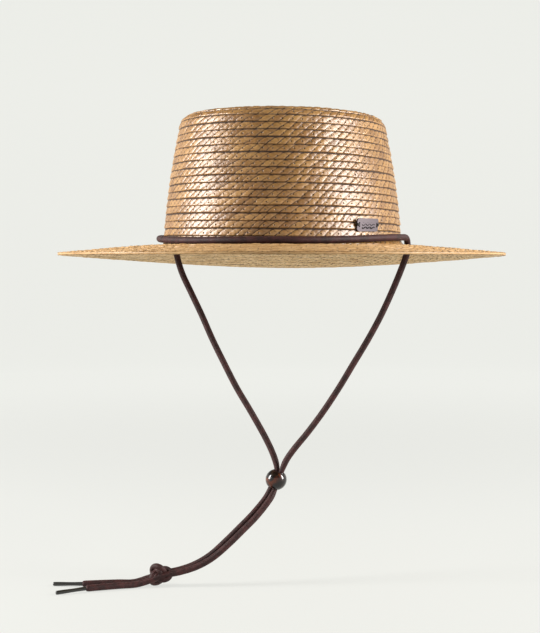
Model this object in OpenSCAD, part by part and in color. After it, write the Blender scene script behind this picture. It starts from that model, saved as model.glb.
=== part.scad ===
// Straw sun hat with a wind cord: flat-topped crown, wide brim, doubled chin cord with a
// sliding toggle bead, a stopper knot and tipped cord ends, and a small sewn metal tag.
// The origin is the middle of the head opening, at the level where crown and brim meet.
// +Z is up, -Y is the front of the hat.

/* [Crown] */
// half of the crown's width over the straw, at the brim
crown_half_w = 87.5; // [75:0.5:100]
// how much further the hat reaches to front and back than to the sides
oval_extra = 17; // [5:1:25]
// height at which the side of the crown starts to round over
side_h = 84.5; // [60:0.5:120]
// how far the side has come in at that height, as a straight lean
side_lean = 4.95; // [0:0.05:15]
// how far it has come in as a curve, on top of the lean
side_bow = 6.78; // [0:0.01:15]
// width of the rounding between side and tip
round_w = 9; // [4:0.5:20]
// height of that rounding
round_h = 10; // [4:0.5:20]
// rise of the tip's middle over its rim
tip_rise = 2; // [0:0.5:10]
// thickness of the sewn straw
straw_t = 2; // [1:0.1:4]

/* [Brim] */
// half of the brim's width at its edge
brim_half_w = 164; // [120:1:200]
// half width of the level ring that carries crown and eyelets
level_half_w = 98; // [90:1:120]
// drop of the edge at front and sides
edge_drop = 5.3; // [0:0.1:20]
// further drop of the edge at the back
back_drop = 11; // [0:0.5:30]
// turn of the lowest point away from the middle of the back
drop_turn = 14; // [-30:1:30]

/* [Sweatband] */
// height of the sweatband
sweat_h = 32; // [20:8:48]
// thickness of the sweatband
sweat_t = 0.8; // [0.4:0.1:2]

/* [Cord] */
// diameter of the cord
cord_d = 4.8; // [3:0.1:7]
// diameter of one strand squeezed inside the toggle bead
strand_d = 3.9; // [2:0.1:6]
// angle of the eyelets behind the widest line of the hat
eyelet_turn = 9; // [0:1:30]
// half width of the oval on which the eyelets lie
eyelet_half_w = 92.2; // [90:0.1:105]
// radius of the eyelets' clear bore
eyelet_r = 3.3; // [2:0.1:5]

/* [Toggle bead] */
// diameter of the bead
bead_d = 16; // [10:0.5:25]
// radius of the bead's bore, which holds both strands
bead_bore_r = 4.35; // [3:0.05:6]
// lean of the bead's bore from the vertical
bead_tilt = 20; // [0:1:45]

/* [Cord tips] */
// diameter of the cord tips
aglet_d = 3; // [2:0.1:5]
// length of the cord tips
aglet_l = 22; // [10:1:30]

/* [Tag] */
// length of the tag round the crown
tag_l = 23.5; // [10:0.5:40]
// height of the tag
tag_h = 9; // [5:0.5:20]
// thickness of the tag
tag_t = 0.8; // [0.4:0.1:2]
// height of the tag's middle over the brim
tag_z = 13.6; // [8:0.1:60]
// angle of the tag from the widest line towards the front
tag_turn = 31; // [0:1:90]

/* [Hidden] */
$fn = 48;
eps = 0.01;
around = 72; // corners in one turn of the straw's ovals
cord_sides = 10;

straw = "#C9A574";
straw_dark = "#B9935F";
sweat_cloth = "#6B5540";
cord_brown = "#4A2E2A";
eyelet_metal = "#B9AC98";
bead_brown = "#2A160F";
tip_black = "#23231F";
tag_metal = "#7B7176";

// how far the oval of half width r reaches to front and back; near the tip's middle it turns round
oval_full = 60;
function reach(r) = r + oval_extra * min(1, r / oval_full);
function oval(r, a, z) = [r * cos(a), reach(r) * sin(a), z];

// the crown's side, its rounding and its tip
function side_r(z) = crown_half_w - side_lean * z / side_h - side_bow * pow(z / side_h, 2);
top_r = side_r(side_h) - round_w;
rim_z = side_h + round_h;
side_rows = [0, 8, 16, 24, 32, 42, 52, 62, 71, 78, side_h];
round_rows = [22.5, 45, 67.5, 90];
function rounding(t, a) = [top_r + (round_w - t) * cos(a), side_h + (round_h - t) * sin(a)];
wall_out = concat([for (z = side_rows) [side_r(z), z]], [for (a = round_rows) rounding(0, a)]);
wall_in = concat([for (z = side_rows) [side_r(z) - straw_t, z]], [for (a = round_rows) rounding(straw_t, a)]);
function tip_z(r) = rim_z + tip_rise * (1 - pow(r / top_r, 2));
tip_rows = [0.25, 0.5, 0.75, 1];

// the brim's drop at its edge grows towards the back, and along its width as a power of the way out
back_power = 4;
out_power = 1.1;
function edge_z(a) = -edge_drop - back_drop * pow((1 + sin(a - drop_turn)) / 2, back_power);
function way_out(r) = max(0, (r - level_half_w) / (brim_half_w - level_half_w));
function brim_z(r, a) = edge_z(a) * pow(way_out(r), out_power);
brim_in_r = crown_half_w - straw_t;
brim_rows = [brim_in_r, crown_half_w, level_half_w, 107, 117, 128, 140, 150, 159, brim_half_w - 1, brim_half_w];
edge_bevel = 0.6;

// eyelets
eyelet_wall = 0.4;
flange_r = 4.7;
flange_t = 0.5;
hole_r = eyelet_r + eyelet_wall + 0.05;
eyelet_x = eyelet_half_w * cos(eyelet_turn);
eyelet_y = reach(eyelet_half_w) * sin(eyelet_turn);

// the bead: its middle, and the way its bore runs
bead_at = [-5.5, -1.5, -176.5];
view_turn = 15;
chamfer = 0.6;

// the cord's two strands lie side by side in the bore, on either side of its axis
bore_way = [sin(bead_tilt) * cos(view_turn), sin(bead_tilt) * sin(view_turn), cos(bead_tilt)];
bore_across = [cos(bead_tilt) * cos(view_turn), cos(bead_tilt) * sin(view_turn), -sin(bead_tilt)];
strand_turn = 41;
strand_side = cos(strand_turn) * bore_across - sin(strand_turn) * [-sin(view_turn), cos(view_turn), 0];
half_strand = 2.1;
bore_run = 7;
function in_bore(side, along) = bead_at + side * half_strand * strand_side + along * bore_run * bore_way;

// the cord, as round route points in order from the eyelet down
left_strap = concat([[-91, 17, -1], [-91, 17.5, -7], [-86, 15.5, -21], [-78, 13.5, -36], [-69, 12, -53],
    [-59.5, 10, -72], [-49.5, 8, -90], [-39, 6.5, -108.5], [-27.5, 5, -126], [-17, 4, -143],
    [-10.5, 2.5, -154.5], [-6.5, 1.5, -164]], [in_bore(-1, 1)]);
right_strap = concat([[91, 17, -1], [90, 17.5, -7], [85.5, 16, -20], [78.5, 15, -37], [71, 13.5, -53.5],
    [62, 12, -70.5], [51.5, 10, -88.5], [41, 8, -106.5], [29.5, 5.5, -124.5], [18, 3, -140.5],
    [9, 0, -152], [2.5, -1.5, -161.5]], [in_bore(1, 1)]);
left_tail = concat([in_bore(-1, 1), in_bore(-1, 0), in_bore(-1, -1)], [[-13, -3.5, -190.5],
    [-21, -10.5, -201.5], [-30, -16.5, -211.5], [-39.5, -22, -221.5], [-49.5, -27, -231],
    [-60, -31.5, -237.5], [-71, -35.5, -241.5], [-83, -39.5, -244], [-93, -42.5, -247.5],
    [-103, -46, -250.5], [-114, -50, -250.5], [-126, -55, -250.5], [-138, -60.5, -250.5]]);
right_tail = concat([in_bore(1, 1), in_bore(1, 0), in_bore(1, -1)], [[-9, -7.5, -191],
    [-17, -14, -202.5], [-26, -20.5, -212.5], [-35, -26.5, -222], [-45.5, -31.5, -231.5],
    [-56.5, -36, -238], [-68.5, -40, -242], [-81, -44, -244.5], [-90, -47.5, -248],
    [-99, -51.5, -250.5], [-109, -58, -250.5], [-119.5, -65, -250.5], [-130, -72.5, -250.5]]);
left_tip = [-160.5, -62.5, -251.5];
right_tip = [-147.5, -86.5, -251.5];
knot_at = [-84, -42.5, -244.2];
knot_size = [19, 17, 17];
knot_turn = 27;

// the band lies on the brim in front and lifts a little before it dips into the eyelets
band_r = 90.3;
band_z = 2.6;
band_lift = 3;
band_step = 11;
band_first = -2;
band_ends = [[91, 17, -1], [91, 13.5, 3.8], [90.8, 7.5, 5.6]];
function band_point(a) = oval(band_r, a, band_z + band_lift * pow(cos(a), 4));
function mirrored(p) = [-p[0], p[1], p[2]];
band_route = concat(
    band_ends,
    [for (a = [band_first : -band_step : -180 - band_first]) band_point(a)],
    [for (i = [2 : -1 : 0]) mirrored(band_ends[i])]
);

// the tag follows the crown's curve where it is sewn on
tag_gap = 0.9;
tag_bend_r = 108;
tag_facing = 26.5;
tag_lean = 5;
tag_corner = 2;
slot_in = 2;
slot_w = 1.2;
slot_h = 3.4;
thread_d = 0.7;
thread_ring_r = 1.5;

// ---- a closed section carried once round the hat ----

// two triangles for the cell between section corners i, i2 and turn corners j, j2
function cell(i, i2, j, j2) = [[i + j, i2 + j2, i + j2], [i + j, i2 + j, i2 + j2]];
function turn_faces(rows) = [for (i = [0 : rows - 1]) for (j = [0 : around - 1])
    each cell(i * around, ((i + 1) % rows) * around, j, (j + 1) % around)];

module carried_round(section) {
    points = [for (p = section) for (j = [0 : around - 1]) oval(p[0], j * 360 / around, p[1])];
    polyhedron(points, turn_faces(len(section)));
}

function reversed(list) = [for (i = [len(list) - 1 : -1 : 0]) list[i]];

// ---- a tube of even sides along a route ----

function unit(v) = v / norm(v);
function heading(route, i) = unit(route[min(i + 1, len(route) - 1)] - route[max(i - 1, 0)]);
function ring(p, t, ref, r) = let (a = unit(cross(ref, t)), b = cross(t, a))
    [for (k = [0 : cord_sides - 1]) p + r * (cos(k * 360 / cord_sides) * a + sin(k * 360 / cord_sides) * b)];

// radii holds one radius per route point
module tube(route, ref, radii) {
    n = cord_sides;
    last = len(route) - 1;
    points = [for (i = [0 : last]) each ring(route[i], heading(route, i), ref, radii[i])];
    sides = [for (i = [0 : last - 1]) for (k = [0 : n - 1])
        each [[i * n + k, (i + 1) * n + (k + 1) % n, i * n + (k + 1) % n],
            [i * n + k, (i + 1) * n + k, (i + 1) * n + (k + 1) % n]]];
    start = [[for (k = [0 : n - 1]) k]];
    end = [[for (k = [n - 1 : -1 : 0]) last * n + k]];
    polyhedron(points, concat(sides, start, end));
}

function even(route, d) = [for (p = route) d / 2];

// ---- straw ----

module crown_wall() {
    color(straw) carried_round(concat(wall_out, reversed(wall_in)));
}

module crown_tip() {
    n = around;
    rows = len(tip_rows);
    top = [for (w = tip_rows) for (j = [0 : n - 1]) oval(w * top_r, j * 360 / n, tip_z(w * top_r))];
    under = [for (w = tip_rows) for (j = [0 : n - 1]) oval(w * top_r, j * 360 / n, tip_z(w * top_r) - straw_t)];
    peak = 2 * rows * n;
    points = concat(top, under, [[0, 0, tip_z(0)], [0, 0, tip_z(0) - straw_t]]);
    upper = [for (i = [0 : rows - 2]) for (j = [0 : n - 1]) each cell((i + 1) * n, i * n, j, (j + 1) % n)];
    lower = [for (i = [rows : 2 * rows - 2]) for (j = [0 : n - 1]) each cell(i * n, (i + 1) * n, j, (j + 1) % n)];
    rim = [for (j = [0 : n - 1]) each cell((2 * rows - 1) * n, (rows - 1) * n, j, (j + 1) % n)];
    crest = [for (j = [0 : n - 1]) [j, peak, (j + 1) % n]];
    pit = [for (j = [0 : n - 1]) [rows * n + j, rows * n + (j + 1) % n, peak + 1]];
    color(straw) polyhedron(points, concat(upper, lower, rim, crest, pit));
}

module brim_sheet() {
    n = around;
    last = len(brim_rows) - 1;
    function drop(i) = i == last ? edge_bevel : 0;
    top = [for (i = [0 : last]) for (j = [0 : n - 1])
        oval(brim_rows[i], j * 360 / n, brim_z(brim_rows[i], j * 360 / n) - drop(i))];
    under = [for (i = [last : -1 : 0]) for (j = [0 : n - 1])
        oval(brim_rows[i], j * 360 / n, brim_z(brim_rows[i], j * 360 / n) - straw_t + drop(i))];
    polyhedron(concat(top, under), turn_faces(2 * len(brim_rows)));
}

module brim() {
    color(straw_dark) difference() {
        brim_sheet();
        for (side = [-1, 1])
            translate([side * eyelet_x, eyelet_y, -straw_t / 2])
                cylinder(h = 4 * straw_t, r = hole_r, center = true);
    }
}

// ---- lining ----

sweat_rows = [for (z = side_rows) if (z <= sweat_h) z];

module sweatband() {
    outer = [for (z = sweat_rows) [side_r(z) - straw_t, z]];
    inner = [for (z = sweat_rows) [side_r(z) - straw_t - sweat_t, z]];
    color(sweat_cloth) carried_round(concat(outer, reversed(inner)));
}

// a narrow strip over the sweatband's butted ends, at the back
join_w = 10;
join_t = 0.7;
join_lean = 5.5;
join_low = 3;
module sweatband_join() {
    join_h = sweat_h - 2 * join_low;
    at_y = reach(side_r(join_low) - straw_t - sweat_t);
    color(sweat_cloth)
        translate([0, at_y - 0.35, join_low]) rotate([join_lean, 0, 0])
            translate([-join_w / 2, -join_t, 0]) cube([join_w, join_t, join_h]);
}

// ---- eyelets ----

module eyelet(side) {
    color(eyelet_metal) translate([side * eyelet_x, eyelet_y, 0]) rotate_extrude() {
        translate([eyelet_r, -straw_t - flange_t]) square([eyelet_wall, straw_t + flange_t + eps]);
        translate([eyelet_r, 0]) square([flange_r - eyelet_r, flange_t]);
    }
}

module eyelet_washer(side) {
    washer_in = hole_r;
    color(eyelet_metal) translate([side * eyelet_x, eyelet_y, -straw_t - flange_t]) rotate_extrude()
        translate([washer_in, 0]) square([flange_r - washer_in, flange_t]);
}

// ---- cord ----

module cord_band() {
    color(cord_brown) tube(band_route, [0, 0, 1], even(band_route, cord_d));
}

function narrowing(route) = [for (i = [0 : len(route) - 1])
    (i > len(route) - 3 ? strand_d : cord_d) / 2];
function widening(route) = [for (i = [0 : len(route) - 1])
    i < 3 ? strand_d / 2 : (i == len(route) - 1 ? aglet_d / 2 + 0.3 : cord_d / 2)];

module strap(route) {
    color(cord_brown) tube(route, [0, 1, 0], narrowing(route));
}

module tail(route) {
    color(cord_brown) tube(route, [0, 0, 1], widening(route));
}

module stopper_knot() {
    color(cord_brown) translate(knot_at) rotate([0, 0, knot_turn])
        scale([knot_size[0] / 2, knot_size[1] / 2, knot_size[2] / 2]) sphere(r = 1);
}

// a cord tip from the cord's end towards a point on the ground
aglet_in = 2;
module aglet(from, to) {
    way = unit(to - from);
    lean = acos(way[2]);
    turn = atan2(way[1], way[0]);
    color(tip_black) translate(from - aglet_in * way) rotate([0, lean, turn])
        cylinder(h = aglet_l + aglet_in, d = aglet_d);
}

module toggle_bead() {
    half_bore = sqrt(pow(bead_d / 2, 2) - pow(bead_bore_r, 2));
    color(bead_brown) translate(bead_at) rotate([0, bead_tilt, view_turn]) difference() {
        sphere(d = bead_d);
        cylinder(h = 2 * bead_d, r = bead_bore_r, center = true);
        for (up = [0, 180])
            rotate([up, 0, 0]) translate([0, 0, half_bore - chamfer])
                cylinder(h = 2 * chamfer, r1 = bead_bore_r - eps, r2 = bead_bore_r + 2 * chamfer);
    }
}

// ---- tag ----

// moves its children to the tag's place: x runs round the crown, y out of it, z up
module on_crown() {
    translate(oval(side_r(tag_z) + tag_gap, -tag_turn, tag_z))
        rotate([0, 0, -tag_facing + 90]) rotate([tag_lean, 0, 0])
            mirror([0, 1, 0]) children();
}

module tag_plate() {
    sweep = tag_l / tag_bend_r * 180 / PI;
    color(tag_metal) on_crown() translate([0, -tag_bend_r, 0]) intersection() {
        rotate([0, 0, 90 - sweep / 2]) rotate_extrude(angle = sweep)
            translate([tag_bend_r, -tag_h / 2]) square([tag_t, tag_h]);
        difference() {
            rounded_block();
            for (side = [-1, 1])
                translate([side * (tag_l / 2 - slot_in), tag_bend_r, 0])
                    cube([slot_w, 4 * tag_bend_r, slot_h], center = true);
        }
    }
}

module rounded_block() {
    reach_x = tag_l / 2 - tag_corner;
    reach_z = tag_h / 2 - tag_corner;
    for (x = [-reach_x, reach_x])
        for (z = [-reach_z, reach_z])
            translate([x, tag_bend_r, z]) rotate([90, 0, 0])
                cylinder(h = 4 * tag_t, r = tag_corner, center = true);
    translate([0, tag_bend_r, 0]) cube([tag_l, 4 * tag_t, 2 * reach_z], center = true);
    translate([0, tag_bend_r, 0]) cube([2 * reach_x, 4 * tag_t, tag_h], center = true);
}

// a loop of thread through the slot and round the tag's end, into the straw
module tag_thread(side) {
    end_x = tag_l / 2 - slot_in / 2 + 0.2;
    end_y = -pow(end_x, 2) / (2 * tag_bend_r);
    color(tip_black) on_crown() translate([side * end_x, end_y + tag_t / 2, 0])
        rotate_extrude() translate([thread_ring_r, 0]) circle(d = thread_d, $fn = 16);
}

crown_tip();
crown_wall();
brim();
sweatband();
sweatband_join();
eyelet(-1);  // eyelet_left
eyelet(1);  // eyelet_right
eyelet_washer(-1);  // eyelet_washer_left
eyelet_washer(1);  // eyelet_washer_right
cord_band();
strap(left_strap);  // cord_left_strap
strap(right_strap);  // cord_right_strap
tail(left_tail);  // cord_left_tail
tail(right_tail);  // cord_right_tail
stopper_knot();
aglet(left_tail[len(left_tail) - 1], left_tip);  // aglet_left
aglet(right_tail[len(right_tail) - 1], right_tip);  // aglet_right
toggle_bead();
tag_plate();
tag_thread(-1);  // tag_thread_left
tag_thread(1);  // tag_thread_right
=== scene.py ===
# %% [markdown]
# # Straw sun hat
# A flat-topped, wide-brimmed sun hat of sewn straw braid, with a wind cord that runs round the
# front of the crown, down through two eyelets, and through a sliding wooden toggle bead to a
# stopper knot and two tipped ends. All lengths here are in millimetres until `metres()`.

import math

import bpy
import numpy as np
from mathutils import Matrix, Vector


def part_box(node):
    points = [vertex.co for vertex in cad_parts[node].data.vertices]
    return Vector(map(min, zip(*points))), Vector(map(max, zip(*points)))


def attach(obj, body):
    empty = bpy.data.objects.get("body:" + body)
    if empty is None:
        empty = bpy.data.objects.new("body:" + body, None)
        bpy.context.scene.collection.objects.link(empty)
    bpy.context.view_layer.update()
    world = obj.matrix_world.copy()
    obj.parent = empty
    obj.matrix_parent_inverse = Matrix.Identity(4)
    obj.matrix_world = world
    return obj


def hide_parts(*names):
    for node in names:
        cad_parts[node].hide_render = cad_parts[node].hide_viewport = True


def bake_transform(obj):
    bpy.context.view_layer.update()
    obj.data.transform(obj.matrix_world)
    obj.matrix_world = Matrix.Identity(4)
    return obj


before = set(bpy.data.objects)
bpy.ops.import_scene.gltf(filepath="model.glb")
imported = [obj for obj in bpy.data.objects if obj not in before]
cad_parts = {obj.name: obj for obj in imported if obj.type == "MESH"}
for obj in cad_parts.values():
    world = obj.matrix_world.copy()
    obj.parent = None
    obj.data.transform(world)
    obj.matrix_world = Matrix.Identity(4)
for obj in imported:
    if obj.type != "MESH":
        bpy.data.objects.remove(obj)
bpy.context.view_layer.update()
MM = 0.001
PER_MM = 1000  # turns repeats per millimetre into a scale on Object coordinates, which are in metres


def metres(points):
    """The same points in metres."""
    return np.asarray(points, float) * MM


def box_mm(node):
    """A CAD node's lowest and highest corner, in millimetres."""
    low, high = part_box(node)
    return np.array(low) / MM, np.array(high) / MM


# %% [markdown]
# ## Camera
# The hat is seen from a little to the right of its front and from just under the brim, so that
# the near half of the brim shows its top as a thin strip and the far half shows its underside.
# A camera can be aimed by a constraint or by hand. Here a turn, a distance and a height place
# it, so that each can be changed alone.

# %% Camera
VIEW_TURN = 15  # degrees from the front towards the tag's side
CAMERA_AWAY = 1000  # from the hat's axis
CAMERA_Z = -9.45  # under the brim's plane
CAMERA_DOWN = 2.513  # degrees
LENS, SHIFT_X = 75.8, -0.0216
view = math.radians(VIEW_TURN)
camera_data = bpy.data.cameras.new("camera")
camera_data.lens = LENS
camera_data.shift_x = SHIFT_X
camera = bpy.data.objects.new("camera", camera_data)
camera.location = metres([CAMERA_AWAY * math.sin(view), -CAMERA_AWAY * math.cos(view), CAMERA_Z])
camera.rotation_euler = (math.radians(90 - CAMERA_DOWN), 0, view)
bpy.context.collection.objects.link(camera)
bpy.context.scene.camera = camera
to_right = np.array([math.cos(view), math.sin(view), 0])
into_view = np.array([-math.sin(view), math.cos(view), 0])
upwards = np.array([0, 0, 1])
print("camera at", [round(v, 3) for v in camera.location])

# %% [markdown]
# ## Making meshes
# A surface here is rings of points worked out with numpy, and faces between neighbouring rings.
# Modelling by hand or with modifiers would do too, but a formula says what the shape is.

# %% Mesh helpers
def mesh_object(name, points, faces):
    """A smooth mesh object of these points, in millimetres, and faces of three or more corners."""
    mesh = bpy.data.meshes.new(name)
    mesh.from_pydata(metres(points).tolist(), [], faces if isinstance(faces, list) else faces.tolist())
    mesh.polygons.foreach_set("use_smooth", np.full(len(mesh.polygons), True))
    mesh.update()
    obj = bpy.data.objects.new(name, mesh)
    bpy.context.collection.objects.link(obj)
    return obj


def ring_faces(rings, across, closed=True):
    """Quads between neighbouring rings of points: point k of ring i has number i * across + k, and
    each ring closes on itself. closed joins the last ring to the first. Also gives i and k."""
    i, k = np.meshgrid(np.arange(rings if closed else rings - 1), np.arange(across), indexing="ij")
    i2, k2 = (i + 1) % rings, (k + 1) % across
    corners = [i * across + k, i * across + k2, i2 * across + k2, i2 * across + k]
    return np.stack(corners, -1).reshape(-1, 4), i, k


def set_uv(obj, corners):
    """Writes one (u, v) pair per face corner."""
    layer = obj.data.uv_layers.new(name="uv")
    layer.data.foreach_set("uv", np.asarray(corners, np.float32).ravel())


def set_attribute(obj, name, values):
    """Writes one number per point."""
    attribute = obj.data.attributes.new(name, "FLOAT", "POINT")
    attribute.data.foreach_set("value", np.asarray(values, np.float32).ravel())


# %% [markdown]
# ## Making materials
# Every finish is a principled shader with procedural patterns. Image textures would need files,
# and a pattern of nodes can be given the real size of its threads or grain instead. Colours are
# written as sRGB hex, as one reads them off a sample, and one function turns them to linear.

# %% Material helpers
SMOOTH = {"interpolation_type": "SMOOTHSTEP"}  # Map Range that eases in and out
COLOURS = {"data_type": "RGBA"}  # Mix of two colours: 0 is the share, 6 and 7 the colours


def linear(hex_colour):
    """An sRGB hex colour as linear RGBA: c / 12.92, or ((c + 0.055) / 1.055) ** 2.4 above 0.04045."""
    parts = [int(hex_colour[i : i + 2], 16) / 255 for i in (1, 3, 5)]
    return [c / 12.92 if c <= 0.04045 else ((c + 0.055) / 1.055) ** 2.4 for c in parts] + [1.0]


def new_material(name, **constants):
    """A material and its principled shader, with constants set on the shader's sockets."""
    material = bpy.data.materials.new(name)
    material.use_nodes = True
    shader = material.node_tree.nodes["Principled BSDF"]
    for socket, value in constants.items():
        shader.inputs[socket.replace("_", " ")].default_value = value
    return material, shader


def add(material, kind, inputs=None, **settings):
    """Adds one node and gives its outputs. inputs are numbers, colours or other nodes' outputs, by
    the input's name or number; settings are the node's properties."""
    made = material.node_tree.nodes.new("ShaderNode" + kind)
    for key, value in settings.items():
        setattr(made, key, value)
    for key, value in (inputs or {}).items():
        if isinstance(value, bpy.types.NodeSocket):
            material.node_tree.links.new(value, made.inputs[key])
        else:
            made.inputs[key].default_value = value
    return made.outputs


def link(material, output, socket):
    """Joins an output to a shader's input."""
    material.node_tree.links.new(output, socket)


def paint(obj, material):
    """Gives an object, new or from the CAD, this one material."""
    if not obj.material_slots:
        obj.data.materials.append(material)
    for material_slot in obj.material_slots:
        material_slot.material = material


# %% [markdown]
# ## The cord's material
# A round cord woven of fine waxed threads, dark wine brown. Its sheath is two families of
# threads that wind round it in opposite directions. Each family could be modelled as real
# strands, but at this size a bump and a dark line of painted shade between the threads show the same.
# Wax leaves a low, broad gleam, so the roughness is middling and there is a little sheen.

# %% Woven cord
CORD_D = 4.8
THREAD_PITCH = 0.62  # from one thread to the next along the cord
THREAD_SLANT = 0.9  # how far a thread runs along the cord for each millimetre round it


def cord_material():
    """Brown woven cord; u runs along it and v round it, both in millimetres. The weave's height is
    max(sin(2 pi (u + v slant) / pitch), sin(2 pi (u - v slant) / pitch))."""
    material, shader = new_material("waxed_woven_cord", Roughness=0.55, Sheen_Weight=0.1)
    shader.inputs["Sheen Tint"].default_value = linear("#B08A86")
    shader.inputs["Specular IOR Level"].default_value = 0.25
    uv = add(material, "UVMap", uv_map="uv")[0]
    along, round_it, _ = add(material, "SeparateXYZ", {0: uv})
    threads = []
    for way in (THREAD_SLANT, -THREAD_SLANT):
        slanted = add(material, "Math", {0: round_it, 1: way, 2: along}, operation="MULTIPLY_ADD")[0]
        wave = add(material, "Math", {0: slanted, 1: 2 * math.pi / THREAD_PITCH}, operation="MULTIPLY")[0]
        threads.append(add(material, "Math", {0: wave}, operation="SINE")[0])
    weave = add(material, "Math", {0: threads[0], 1: threads[1]}, operation="MAXIMUM")[0]
    wear = add(material, "TexNoise", {"Vector": uv, "Scale": 0.18, "Detail": 4.0})[0]
    worn = add(material, "MapRange", {0: wear, 1: 0.35, 2: 0.65}, **SMOOTH)[0]
    base = add(material, "Mix", {0: worn, 6: linear("#2B1413"), 7: linear("#472322")}, **COLOURS)[2]
    # painted shade: the colour darkens to near black in the grooves between the threads
    raised = add(material, "MapRange", {0: weave, 1: -0.6, 2: 0.9}, **SMOOTH)[0]
    shaded = add(material, "Mix", {0: raised, 6: linear("#110706"), 7: base}, **COLOURS)[2]
    link(material, shaded, shader.inputs["Base Color"])
    bump = add(material, "Bump", {"Strength": 0.35, "Distance": 0.12 * MM, "Height": weave})[0]
    link(material, bump, shader.inputs["Normal"])
    return material


cord_look = cord_material()

# %% [markdown]
# ## The cord's route
# The cord is one length: from its left tip through knot and bead, up the left strap, through the
# left eyelet, round the front of the crown, and back down the other side. It is cut where the
# bead holds it, so that the straps can follow the bead as it slides. A cord that hangs could be
# simulated, but its route is known, so its points are the CAD's own, in millimetres, and a
# smooth curve is laid through them.

# %% The bead's bore and the route's points
BEAD_AT = np.array([-5.5, -1.5, -176.5])
BEAD_TILT = math.radians(20)
STRAND_TURN = math.radians(41)
HALF_STRAND = 2.1
bore_way = math.sin(BEAD_TILT) * to_right + math.cos(BEAD_TILT) * upwards
bore_across = math.cos(BEAD_TILT) * to_right - math.sin(BEAD_TILT) * upwards
strand_side = math.cos(STRAND_TURN) * bore_across - math.sin(STRAND_TURN) * into_view


def in_bore(side, along):
    """A point of one strand in the bead's bore: side is -1 or 1, along is up the bore."""
    return BEAD_AT + side * HALF_STRAND * strand_side + along * bore_way


LEFT_STRAP = [[-91, 17, -1], [-91, 17.5, -7], [-86, 15.5, -21], [-78, 13.5, -36], [-69, 12, -53],
    [-59.5, 10, -72], [-49.5, 8, -90], [-39, 6.5, -108.5], [-27.5, 5, -126], [-17, 4, -143],
    [-10.5, 2.5, -154.5], [-6.5, 1.5, -164], in_bore(-1, 6), in_bore(-1, 1)]
RIGHT_STRAP = [[91, 17, -1], [90, 17.5, -7], [85.5, 16, -20], [78.5, 15, -37], [71, 13.5, -53.5],
    [62, 12, -70.5], [51.5, 10, -88.5], [41, 8, -106.5], [29.5, 5.5, -124.5], [18, 3, -140.5],
    [9, 0, -152], [2.5, -1.5, -161.5], in_bore(1, 6), in_bore(1, 1)]
LEFT_TAIL = [in_bore(-1, 1), in_bore(-1, -3), in_bore(-1, -7), [-13, -3.5, -190.5], [-21, -10.5, -201.5],
    [-30, -16.5, -211.5], [-39.5, -22, -221.5], [-49.5, -27, -231], [-60, -31.5, -237.5],
    [-71, -35.5, -241.5], [-83, -39.5, -244], [-93, -42.5, -247.5], [-103, -46, -250.5],
    [-114, -50, -250.5], [-126, -55, -250.5], [-138, -60.5, -250.5]]
RIGHT_TAIL = [in_bore(1, 1), in_bore(1, -3), in_bore(1, -7), [-9, -7.5, -191], [-17, -14, -202.5],
    [-26, -20.5, -212.5], [-35, -26.5, -222], [-45.5, -31.5, -231.5], [-56.5, -36, -238],
    [-68.5, -40, -242], [-81, -44, -244.5], [-90, -47.5, -248], [-99, -51.5, -250.5],
    [-109, -58, -250.5], [-119.5, -65, -250.5], [-130, -72.5, -250.5]]
LEFT_TIP = [-160.5, -62.5, -251.5]
RIGHT_TIP = [-147.5, -86.5, -251.5]
KNOT_AT = np.array([-84, -42.5, -244.2])

# %% [markdown]
# ## Tubes along a curve
# A tube could be a curve with a bevel, but a bevel has one radius and its UVs aren't in
# millimetres. Here a ring of points is carried along the curve, its radius may change on the way,
# and u and v are real lengths, so that the weave keeps its size.

# %% Curves and tubes
def smooth_curve(points, step=0.5):
    """A Catmull-Rom curve through the points, sampled again at even steps along its length."""
    p = np.asarray([np.asarray(q, float) for q in points])
    p = np.vstack([2 * p[0] - p[1], p, 2 * p[-1] - p[-2]])
    t = np.linspace(0, 1, 24, endpoint=False)[:, None, None]
    a, b, c, d = (p[None, i : len(p) - 3 + i] for i in range(4))
    curve = 0.5 * (2 * b + (c - a) * t + (2 * a - 5 * b + 4 * c - d) * t**2 + (3 * b - a - 3 * c + d) * t**3)
    curve = np.vstack([curve.transpose(1, 0, 2).reshape(-1, 3), p[-2]])
    run = np.concatenate([[0], np.cumsum(np.linalg.norm(np.diff(curve, axis=0), axis=1))])
    even = np.linspace(0, run[-1], max(3, int(run[-1] / step) + 1))
    return np.stack([np.interp(even, run, curve[:, k]) for k in range(3)], 1), even


def frames_along(curve):
    """Two unit vectors across the curve at each point, carried along it without twist."""
    heading = np.gradient(curve, axis=0)
    heading /= np.linalg.norm(heading, axis=1)[:, None]
    start = np.cross(heading[0], [0.3, 1, 0.2])
    side = [start / np.linalg.norm(start)]
    for way in heading[1:]:
        carried = side[-1] - way * (side[-1] @ way)
        side.append(carried / np.linalg.norm(carried))
    side = np.array(side)
    return side, np.cross(heading, side)


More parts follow.
